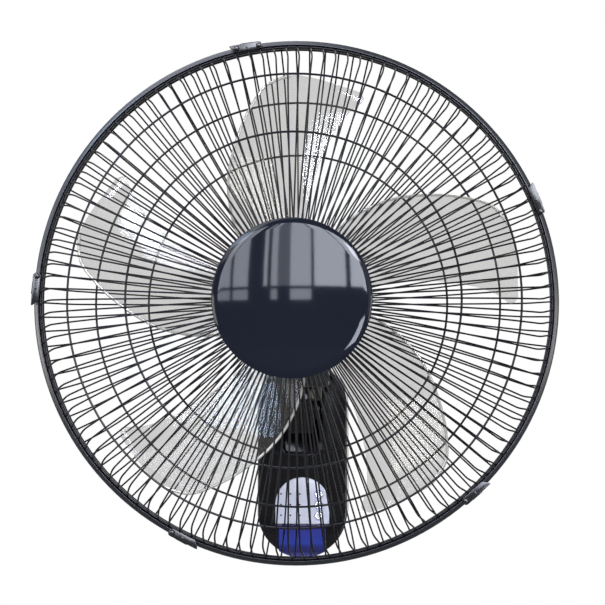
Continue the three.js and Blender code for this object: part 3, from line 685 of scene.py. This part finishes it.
luck = random.Random(5)
rear_low, rear_high = box_mm("rear_guard_wires")
front_low, front_high = box_mm("front_guard_wires")
rear_path = bent_path([
    (47, rear_high.y - 0.8), (199.4, rear_high.y - 22.6, 9), (219, rear_low.y + 0.2),
], 4)
front_path = bent_path([
    (60, front_low.y + 0.9), (191.8, front_low.y + 24.8, 14), (HOOK_START, front_low.y + 37.4, 5),
    (214.5, front_low.y + 43, 4, HOOK_REACH * 0.7), (219, front_high.y - 0.2, 0, HOOK_REACH),
], 3)
rear_hub = flat_ring(26, 50, rear_high.y - HUB_THICKNESS, rear_high.y)
front_hub = flat_ring(56, 63, front_low.y, front_low.y + HUB_THICKNESS)
for half, path, hub, count in (
    ("rear", rear_path, rear_hub, REAR_COUNT), ("front", front_path, front_hub, FRONT_COUNT),
):
    piece(f"{half}_guard_wires_round", guard_wires(path, hub, count, luck), "head", wire_paint,
          [f"{half}_guard_wires"])

# %% [markdown]
# ## Rings and rim wires
# Two thinner rings are welded inside each half, and a thick rim wire carries the wires' ends. The
# rings are round bars bent into circles, a small circle turned about the axis. The rim wires are
# pressed flat in the hoop.

# %% Rings and rim wires
RING_SIDES = 8
RING_STEPS = 128
RIM_BAR = 2.6  # how wide the rim's bar is, seen from the front


def bar_ring(radius, y, bar_radius):
    bm = bmesh.new()
    place = Matrix.Translation((radius, y, AXIS))
    bmesh.ops.create_circle(
        bm, cap_ends=False, radius=bar_radius, segments=RING_SIDES, matrix=place,
    )
    return spun(bm, RING_STEPS)


for node in ("rear_ring_outer", "rear_ring_inner", "front_ring_outer", "front_ring_inner"):
    low, high = box_mm(node)
    bar = (high.y - low.y) / 2
    bm = bar_ring(high.x - bar, (low.y + high.y) / 2, bar)
    piece(node + "_round", bm, "head", wire_paint, [node])

for node in ("rear_rim_wire", "front_rim_wire"):
    low, high = box_mm(node)
    inside, soft = high.x - RIM_BAR, RIM_BAR * 0.45
    bm = turned([
        (inside, low.y, soft), (high.x, low.y, soft), (high.x, high.y, soft),
        (inside, high.y, soft),
    ], RING_STEPS, round_steps=3)
    piece(node + "_round", bm, "head", wire_paint, [node])

# %% [markdown]
# ## Hoop
# The hoop is a channel of satin plastic that grips both rim wires. Its front is broad and slants
# outwards, so it catches the sky along the upper left and stays dark along the bottom.

# %% Hoop
HOOP_LIP = 4.2
HOOP_WALL = 1.3
HOOP_SLANT = 2.3  # how much further back the front is at its outside
inner = HOOP_RADIUS - HOOP_LIP
hoop_profile = [
    (inner, HOOP_FRONT, 0.7), (HOOP_RADIUS, HOOP_FRONT + HOOP_SLANT, 1.5),
    (HOOP_RADIUS, HOOP_BACK, 2.0), (inner, HOOP_BACK, 0.5),
    (inner, HOOP_BACK - HOOP_WALL), (HOOP_RADIUS - HOOP_WALL, HOOP_BACK - HOOP_WALL),
    (HOOP_RADIUS - HOOP_WALL, HOOP_FRONT + HOOP_WALL + HOOP_SLANT), (inner, HOOP_FRONT + HOOP_WALL),
]
piece("guard_hoop_channel", turned(hoop_profile, steps=160), "head", hoop_satin,
      ["guard_hoop"])

# %% [markdown]
# ## Clips
# Five plastic clips hold the joint shut. Each is a slim straight plate over the hoop's front with
# a slanting end. It turns on a domed rivet, has a flange over the hoop's outside and a small pin in
# its middle. The top one has a second dome at its free end, where a screw locks it.

# %% Clips
CLIP_ANGLES = [20, 98, 174.3, 242, 310.5]
LOCKED_CLIP = 2
CLIP_THICKNESS = 1.2
CLIP_FRONT = HOOP_FRONT - 0.4 - CLIP_THICKNESS  # with a little play behind the plate
RIVET_RADIUS = HOOP_RADIUS - 2.3


def rivet_dome(along, radius=2.6):
    """A domed head on a clip's plate, so far along it from the rivet."""
    return turned([
        (0, CLIP_FRONT - 2.4), (radius * 0.7, CLIP_FRONT - 2.1, 0.9),
        (radius, CLIP_FRONT - 0.5, 0.9), (radius, CLIP_FRONT + 0.4), (0, CLIP_FRONT + 0.4),
    ], steps=24, closed=False, round_steps=4, centre=(RIVET_RADIUS, 0, AXIS + along))


def clip_shape(locked):
    """A clip at the right of the hoop, where its length runs up along Z."""
    plate = pushed([
        (219.8, AXIS - 3, 3), (226.5, AXIS - 3, 3), (225.6, AXIS + 25.2, 0.5),
        (224.5, AXIS + 25.6, 0.5), (219.2, AXIS + 20.8, 1.0),
    ], CLIP_FRONT + CLIP_THICKNESS, CLIP_FRONT, steps=4)
    soften(plate, 0.4)
    flange = block((225.4, CLIP_FRONT + 0.2, AXIS + 5), (226.5, HOOP_BACK - 2.5, AXIS + 16))
    soften(flange, 0.4)
    pin = turned([
        (0, CLIP_FRONT - 0.7), (1.1, CLIP_FRONT - 0.7, 0.3), (1.1, CLIP_FRONT + 0.4),
        (0, CLIP_FRONT + 0.4),
    ], steps=16, closed=False, round_steps=2, centre=(RIVET_RADIUS + 0.2, 0, AXIS + 10.5))
    domes = [rivet_dome(0)] + ([rivet_dome(19.5)] if locked else [])
    return add(plate, flange, pin, *domes)


for number, angle in enumerate(CLIP_ANGLES, 1):
    bm = swung(clip_shape(number == LOCKED_CLIP), -angle)
    piece(f"guard_clip_{number}_moulded", bm, f"clip_{number}", clip_gloss,
          [f"guard_clip_{number}"])

# %% [markdown]
# ## Centre cap
# The cap is a shallow dome of very glossy navy plastic with a thin turned-back edge. A dome that is
# part of a large ball mirrors a wide field, so its profile is an arc.

# %% Centre cap
cap_low, cap_high = box_mm("centre_cap")
CAP_RADIUS = cap_high.x
CAP_BALL = 300  # radius of the ball that the dome is part of
CAP_EDGE = 65.4  # where the dome ends and the edge starts
CAP_STEPS = 10


def dome(front, step):
    radius = CAP_EDGE * step / CAP_STEPS
    return (radius, front + CAP_BALL - math.sqrt(CAP_BALL**2 - radius**2))


cap_profile = [dome(cap_low.y, step) for step in range(CAP_STEPS + 1)]
cap_profile += [
    (CAP_RADIUS, cap_high.y - 1.9, 0.8), (CAP_RADIUS, cap_high.y), (CAP_RADIUS - 2, cap_high.y),
    (CAP_RADIUS - 5.5, cap_high.y - 1.8), (0, cap_high.y - 6.6),
]
piece("centre_cap_dome", turned(cap_profile, steps=128, closed=False), "head", navy_gloss,
      ["centre_cap"])

# %% [markdown]
# ## Blades
# Five broad blades sweep out of a hub. One blade is a flat grid whose points are moved onto the
# blade's surface: along it the outline's edges are angles at a given radius, and across it the
# surface rises from the leading edge to the trailing edge with a slight camber.

# %% Blades
BLADE_COUNT = 5
BLADE_RADIUS = 192.5
BLADE_ROOT = 37.9
BLADE_EDGES = [  # radius, then the angle of the leading and of the trailing edge
    (37.9, 88.5, 139.5), (74, 85, 131), (115, 81.5, 120), (145, 78.4, 110.5),
    (171, 74.8, 102.6), (186, 71.6, 97.4), (192.5, 73.2, 91),
]
BLADE_LEADING = (-213, -229)  # depth at the root and at the tip
BLADE_TRAILING = (-249, -267)
BLADE_CAMBER = 0.35
BLADE_THICKNESS = 2.0
BLADE_ALONG = 36
BLADE_ACROSS = 16


def through(rows, share):
    """A point on the smooth curve through rows, from 0 at the first to 1 at the last."""
    place = share * (len(rows) - 1)
    i = min(int(place), len(rows) - 2)
    t = place - i
    a, b = Vector(rows[i]), Vector(rows[i + 1])
    before = Vector(rows[i - 1]) if i else 2 * a - b
    after = Vector(rows[i + 2]) if i + 2 < len(rows) else 2 * b - a
    return (
        b * 3 * t * t + a * 2 - a * 5 * t * t + a * 3 * t**3 - b * 3 * t**3 + b * t * t
        + (b - before) * t + before * 2 * t * t - before * t**3 + after * t**3 - after * t * t
    ) / 2


def blade_point(along, across):
    radius, leading, trailing = through(BLADE_EDGES, along)
    share = (radius - BLADE_ROOT) / (BLADE_RADIUS - BLADE_ROOT)
    first = BLADE_LEADING[0] + (BLADE_LEADING[1] - BLADE_LEADING[0]) * share
    final = BLADE_TRAILING[0] + (BLADE_TRAILING[1] - BLADE_TRAILING[0]) * share
    angle = math.radians(leading + (trailing - leading) * across)
    y = first + (final - first) * (across + BLADE_CAMBER * (across * across - across))
    return Vector((radius * math.cos(angle), y, AXIS + radius * math.sin(angle)))


def blade():
    bm = bmesh.new()
    bmesh.ops.create_grid(bm, x_segments=BLADE_ALONG, y_segments=BLADE_ACROSS, size=0.5)
    for v in bm.verts:
        v.co = blade_point(v.co.x + 0.5, v.co.y + 0.5)
    bmesh.ops.recalc_face_normals(bm, faces=bm.faces)
    bmesh.ops.solidify(bm, geom=bm.faces[:], thickness=BLADE_THICKNESS)
    return bm


def blades():
    hub = turned([
        (4.3, -216, 0.5), (11, -216, 1), (11, -251.5), (35.6, -251.5, 2), (37.5, -208),
        (40, -208, 0.8), (38.4, -254, 4), (4.3, -254),
    ], round_steps=4)
    return add(copied_round(blade(), BLADE_COUNT, way=-1), hub)


piece("fan_blades_smoky", blades(), "rotor", blade_smoke, ["fan_blade"],
      sharp=math.radians(50))

# %% [markdown]
# ## Blade edges
# Along its trailing edge each blade ends in a thick rounded lip. Light gathers in it, and that
# light is painted into the lip's finish: a pale painted highlight that shows as a pale line
# wherever something dark is behind. It is a thin rod along the blade's edge.

# %% Trailing lips
LIP_RADIUS = 1.15
LIP_SIDES = 8
LIP_STEPS = 20


def trailing_lips():
    """A lip along each blade's trailing edge."""
    path = [blade_point(step / LIP_STEPS, 1.0) for step in range(LIP_STEPS + 1)]
    lip = rod(
        path, LIP_RADIUS, LIP_SIDES, lambda along: along.cross(Vector((0, 1, 0))).normalized(),
    )
    return copied_round(lip, BLADE_COUNT, way=-1)


piece("blade_lips", trailing_lips(), "rotor", blade_edge_painted_highlight)

# %% Spinner nut
nut_low, nut_high = box_mm("spinner_nut")
spinner = turned([
    (0, nut_low.y), (7, nut_low.y + 0.3, 2), (13, nut_low.y + 3.5, 2), (16, nut_high.y - 6, 1),
    (16, nut_high.y, 0.5), (4.3, nut_high.y), (4.3, nut_high.y - 9), (0, nut_high.y - 10.2),
], steps=64, closed=False)
piece("spinner_nut_moulded", spinner, "rotor", black_satin, ["spinner_nut"])

# %% [markdown]
# ## Motor shell
# Behind the guard the motor sits in a satin shell, a deep dome with radial slots that let the heat
# out. It is turned from a profile with its wall, and the slots and the neck's window are cut out.

# %% Motor shell
shell_low, shell_high = box_mm("motor_shell")
VENT_COUNT = 6


def motor_shell():
    back, front = shell_high.y, shell_low.y
    shell = turned([
        (0, back), (22, back - 0.5, 8), (34, back - 5.5, 10), (42, back - 16.5, 12),
        (47, back - 36.5, 20), (49.5, back - 58.5, 20), (49.5, front + 3, 2), (48.5, front),
        (46.3, front), (47.3, back - 58.5), (39.8, back - 17.8), (32, back - 7.5),
        (21, back - 2.7), (0, back - 2.3),
    ], closed=False, round_steps=6)
    tools = []
    for number in range(VENT_COUNT):
        slot = pushed([
            (15.5, AXIS - 2, 1.9), (30.5, AXIS - 2, 1.9), (30.5, AXIS + 2, 1.9),
            (15.5, AXIS + 2, 1.9),
        ], -70, -96, steps=4)
        tools.append(swung(slot, (number + 0.5) * 360 / VENT_COUNT))
    tools.append(block((-15.5, -140, AXIS - 60), (15.5, -110, AXIS - 40)))
    return carved(shell, *tools)


piece("motor_shell_moulded", motor_shell(), "head", black_satin, ["motor_shell"])

# %% Guard mounting plate and nut
LUG_COUNT = 4


def guard_nut():
    nut = turned([
        (24.5, -192.5, 0.6), (38, -192.5, 0.8), (38, -199.5, 1.6), (24.5, -199.5, 1.2),
    ], steps=72, round_steps=3)
    lugs = []
    for number in range(LUG_COUNT):
        lug = soften(block((34, -199.2, AXIS - 4.5), (41, -192.8, AXIS + 4.5)), 0.8)
        lugs.append(swung(lug, (number + 0.5) * 360 / LUG_COUNT))
    return add(nut, *lugs)


mount_plate = turned([
    (20, -186.4), (50, -186.4, 0.8), (50, -190, 0.8), (24, -190), (24, -202, 0.6), (20, -202, 0.4),
], steps=96, round_steps=3)
piece("guard_mount_plate_moulded", mount_plate, "head", black_satin,
      ["guard_mount_plate"])
piece("guard_nut_moulded", guard_nut(), "head", black_satin, ["guard_nut"])

# %% [markdown]
# ## Swing drive's cover
# Under the shell a small tray covers the swing motor. It is a box with rounded edges whose top is
# cut to the shell's curve, hollow inside.

# %% Swing cover


def swing_cover():
    outer = block((-27, -190, 67), (27, -146, 104))
    soften(outer, 4, steps=4, angle=1, chosen=lambda edge: min(v.co.z for v in edge.verts) < 100)
    inside = block((-25.2, -188.2, 68.8), (25.2, -140, 120))
    shell_form = turned([(0, -130), (50.4, -130), (50.4, -200), (0, -200)], closed=False)
    return carved(outer, inside, shell_form)


piece("swing_cover_moulded", swing_cover(), "head", black_satin, ["swing_cover"])

# %% [markdown]
# ## Neck
# The neck is one glossy casting: a barrel on the tilt bolt, a column that leans forwards, and a
# round table that the head swings on.

# %% Neck
TILT_Y, TILT_Z = -78, 45
SWIVEL = (0, -125, 0)


def neck_arm():
    column = pushed_aside([
        (-84, 25, 2), (-86, 23), (-110, 23, 3), (-112.5, 26, 2), (-114.5, 46, 6), (-126, 54, 3),
        (-126, 67.6), (-104, 67.6, 2), (-86, 56, 6), (-84, 50),
    ], -10.5, 10.5)
    soften(column, 1.6, steps=3)
    barrel = turned(
        [(0, -17.6), (13, -17.6, 1), (13, 17.6, 1), (0, 17.6)], steps=48, closed=False,
        round_steps=3, centre=(0, TILT_Y, TILT_Z), axis=(1, 0, 0),
    )
    table = turned(
        [(0, 54), (20, 54, 2), (20, 68, 1), (7.8, 68), (7.8, 73, 0.5), (0, 73)], steps=64,
        closed=False, round_steps=3, centre=SWIVEL, axis=(0, 0, 1),
    )
    return add(column, barrel, table)


piece("neck_arm_cast", neck_arm(), "neck", black_gloss, ["neck_arm"])

# %% [markdown]
# ## Wall body
# Two covers meet at a seam: a plain rear one, and a glossy front one whose front edge is a wide
# round. Both are the same upright outline with round ends. The front cover is open at the top for
# the neck, and has openings for the panel and the window. A Boolean cuts these, because their
# edges run over the rounded form.

# %% Front cover


def capsule(inset):
    """The body's outline with round ends, so far inside its real one."""
    half, top = BODY_RADIUS - inset, BODY_TOP - inset
    return [(half, top, half), (-half, top, half), (-half, -top, half), (half, -top, half)]


def rounded_at(bm, y, radius, steps):
    """Rounds the edges that lie in one plane across Y."""
    edges = [e for e in bm.edges if all(abs(v.co.y - y) < 0.01 for v in e.verts)]
    bmesh.ops.bevel(
        bm, geom=edges, offset=radius, offset_type="OFFSET", segments=steps, profile=0.5,
        affect="EDGES", clamp_overlap=True, material=-1,
    )
    return bm


def front_form(growth, back):
    """The front cover's outer form, grown or shrunk all round."""
    front = BODY_FRONT - growth
    bm = pushed(capsule(-growth), back, front, steps=20)
    return rounded_at(bm, front, FRONT_ROUNDING, steps=8)


def arch(half_width, centre, bottom):
    """An upright outline with a round top, whose arc has this centre."""
    top = centre + half_width
    return [
        (half_width, bottom), (half_width, top, half_width), (-half_width, top, half_width),
        (-half_width, bottom),
    ]


def channel(half_width, bottom, corner, top):
    """A U with rounded bottom corners."""
    return [
        (half_width, top), (-half_width, top), (-half_width, bottom, corner),
        (half_width, bottom, corner),
    ]


PANEL_HALF, PANEL_CENTRE, PANEL_BOTTOM = 25.2, -42.9, -61
WINDOW_HALF, WINDOW_TOP, WINDOW_STRIP = 22, -64.2, -61.6
GAP = 0.3  # between the cover and what sits in it


def window_blocks(margin):
    """Two blocks that cut out the window and the wider strip above it."""
    wide, narrow = PANEL_HALF + margin, WINDOW_HALF + margin
    return [
        block((-narrow, -104, -97), (narrow, -82 + margin, WINDOW_TOP + margin)),
        block((-wide, -104, WINDOW_TOP - margin), (wide, -92, WINDOW_STRIP + margin)),
    ]


def front_cover():
    return carved(
        front_form(0, BODY_SEAM - 0.5),
        front_form(-BODY_WALL, BODY_SEAM),
        pushed(channel(21, 1.2, 9, 100), -57.7, -104),
        pushed(arch(PANEL_HALF + GAP, PANEL_CENTRE, PANEL_BOTTOM - GAP), -93, -104, steps=16),
        *window_blocks(GAP),
    )


piece("front_cover_glossy", front_cover(), "base", black_gloss, ["front_cover"])

# %% Rear cover
REAR_FACE = -0.8  # just clear of the wall


def rear_cover():
    outer = rounded_at(pushed(capsule(0), REAR_FACE, BODY_SEAM, steps=20), REAR_FACE, 1.2, steps=3)
    back_pocket = pushed(capsule(3.5), 1, -8, steps=20)
    inside = pushed(capsule(BODY_WALL), -10.5, BODY_SEAM - 1, steps=20)
    inlet = turned(
        [(0, -96), (6.5, -96), (6.5, -85), (0, -85)], steps=32, closed=False, centre=(0, -25, 0),
        axis=(0, 0, 1),
    )
    return carved(outer, back_pocket, inside, inlet)


piece("rear_cover_satin", rear_cover(), "base", black_satin, ["rear_cover"])

# %% Neck cradle


def neck_cradle():
    outside = pushed(channel(20.6, 1.6, 8.6, 99), -58, -99.6)
    tray = carved(outside, front_form(-0.4, BODY_SEAM), operation="INTERSECT")
    hollow = pushed(channel(18.4, 3.8, 7.5, 101), -60.2, -106)
    bolt_hole = turned(
        [(0, -30), (4.4, -30), (4.4, 30), (0, 30)], steps=24, closed=False,
        centre=(0, TILT_Y, TILT_Z), axis=(1, 0, 0),
    )
    return soften(carved(tray, hollow, bolt_hole), 0.6)


piece("neck_cradle_moulded", neck_cradle(), "base", black_gloss, ["neck_cradle"])

# %% [markdown]
# ## Control panel and window
# The panel is a pearly plate with an arched top. Ten small lights show through holes in it, and
# three round buttons stand at its right. Below it a strip and a window of blue plastic wrap round
# the body's lower end and cover the receiver of the remote control.

# %% Control panel
BUTTON_X = 15.5
BUTTONS = {"power": -33.5, "timer": -43.5, "swing": -53.5}
LIGHT_COLUMNS = [-20, -11.2, -2.4, 6.4]
LIGHT_ROWS = {-33.2: 4, -43.2: 3, -53.2: 3}
LIGHT_PLACES = [(x, z) for z, count in LIGHT_ROWS.items() for x in LIGHT_COLUMNS[:count]]
panel_low, panel_high = box_mm("control_panel")
PANEL_FACE = panel_low.y


def control_panel():
    plate = pushed(arch(PANEL_HALF, PANEL_CENTRE, PANEL_BOTTOM), -97, PANEL_FACE, steps=20)
    soften(plate, 0.5, chosen=lambda edge: all(v.co.y < PANEL_FACE + 0.1 for v in edge.verts))
    dish = [
        (0, -104), (4.8, -104), (4.8, PANEL_FACE), (4.2, PANEL_FACE + 0.8), (0, PANEL_FACE + 0.8),
    ]
    button_hole = [(0, -104), (4, -104), (4, -95), (0, -95)]
    light_hole = [(0, -104), (0.95, -104), (0.95, -95), (0, -95)]
    tools = [
        turned(profile, steps=32, closed=False, centre=(BUTTON_X, 0, z))
        for profile in (dish, button_hole) for z in BUTTONS.values()
    ]
    tools += [
        turned(light_hole, steps=12, closed=False, centre=(x, 0, z)) for x, z in LIGHT_PLACES
    ]
    return carved(plate, *tools)


def light_lenses():
    lens_profile = [
        (0, PANEL_FACE + 0.2), (0.85, PANEL_FACE + 0.25, 0.2), (0.85, -96), (0, -96),
    ]
    return add(*[
        turned(lens_profile, steps=12, closed=False, centre=(x, 0, z)) for x, z in LIGHT_PLACES
    ])


piece("control_panel_pearl", control_panel(), "base", panel_pearl, ["control_panel"])
piece("light_lenses", light_lenses(), "base", clear_guide)

for key, z in BUTTONS.items():
    low, high = box_mm(f"{key}_button")
    cap = turned([
        (0, low.y + 0.25), (2.2, low.y + 0.2), (2.5, low.y, 0.2), (3.1, low.y, 0.3),
        (3.6, low.y + 0.8, 0.3), (3.6, high.y - 2), (0, high.y - 2),
    ], steps=40, closed=False, round_steps=3, centre=(BUTTON_X, 0, z))
    piece(f"{key}_button_cap", cap, f"{key}_key", button_silver,
          [f"{key}_button"])

# %% Receiver window


def receiver_window():
    whole = carved(*window_blocks(0), operation="UNION")
    shell = carved(front_form(0.8, -70), front_form(-2.9, -69))
    return soften(carved(shell, whole, operation="INTERSECT"), 0.3)


piece("receiver_window_lens", receiver_window(), "base", blue_lens,
      ["receiver_window"])

# %% [markdown]
# ## Finishes of the frame's own solids
# What stays of the frame is hidden inside, or is a screw or a plate whose shape is right. Each
# solid still gets the finish of its material.

# %% Finishes of the frame's solids
SOLID_FINISHES = {
    "wall_plate": zinc, "light_guide": clear_guide, "control_board": board_green,
    "infrared_receiver": black_satin, "run_capacitor": black_satin, "cord_grommet": rubber,
    "lock_screw": steel, "tilt_bolt": steel, "tilt_nut": steel, "swivel_pin": steel,
    "swivel_washer": nylon, "link_pin": steel, "motor_casing_rear": zinc,
    "motor_casing_front": zinc, "stator_core": laminations, "winding_front": copper,
    "winding_rear": copper, "bearing_front": steel, "bearing_rear": steel,
    "cap_back_plate": black_satin, "swing_motor": zinc, "swing_crank": nylon, "swing_link": steel,
    "motor_shaft": steel, "rotor_core": laminations, "drive_pin": steel,
}
SOLID_FINISHES.update({f"body_screw_{number}": steel for number in range(1, 5)})
for name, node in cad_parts.items():
    finish = SOLID_FINISHES.get(name)
    if finish is None:
        continue
    if not node.material_slots:
        node.data.materials.append(finish)
    for material_slot in node.material_slots:
        material_slot.material = finish
print("solids refinished:", len(SOLID_FINISHES))

# %% [markdown]
# ## Colour view
# The scene's colours go through the Standard view transform.

# %% View transform
scene = bpy.context.scene
scene.view_settings.view_transform = "Standard"
